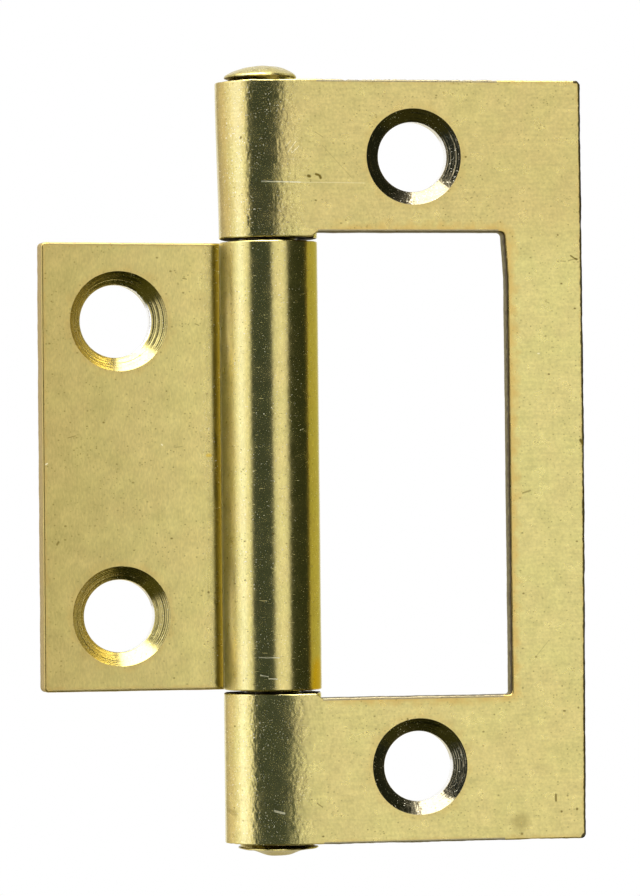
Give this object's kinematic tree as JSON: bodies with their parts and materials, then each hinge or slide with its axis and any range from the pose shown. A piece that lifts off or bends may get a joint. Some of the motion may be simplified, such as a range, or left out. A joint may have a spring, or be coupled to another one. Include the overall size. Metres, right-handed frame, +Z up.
{
  "type": "flush hinge for a louvre door",
  "caption": "Flush hinge: a small leaf turns on a headed pin and folds into the window of a larger, C-shaped leaf. Both leaves have countersunk screw holes and rolled knuckles.",
  "frame": {"origin": "on the pin line, half way up the frame leaf", "axes": "+Z up along the pin, +X from the pin across the frame leaf, -Y the side that the countersinks face"},
  "size_m": [0.0356, 0.0065, 0.052],
  "materials": {
    "frame_leaf": "bright rolled brass, lightly worn, stained at the cut edges",
    "door_leaf": "bright rolled brass, lightly worn, stained at the cut edges",
    "hinge_pin": "drawn brass, its heads burnished by the riveting tool"
  },
  "bodies": {
    "frame_side": {"frame_leaf": "frame_leaf", "hinge_pin": "hinge_pin"},
    "door_side": {"door_leaf": "door_leaf"}
  },
  "joints": [
    {"name": "leaf_swing", "type": "hinge", "parent": "frame_side", "child": "door_side", "pos_m": [0, 0, 0], "axis": [0, 0, 1], "continuous": true}
  ]
}
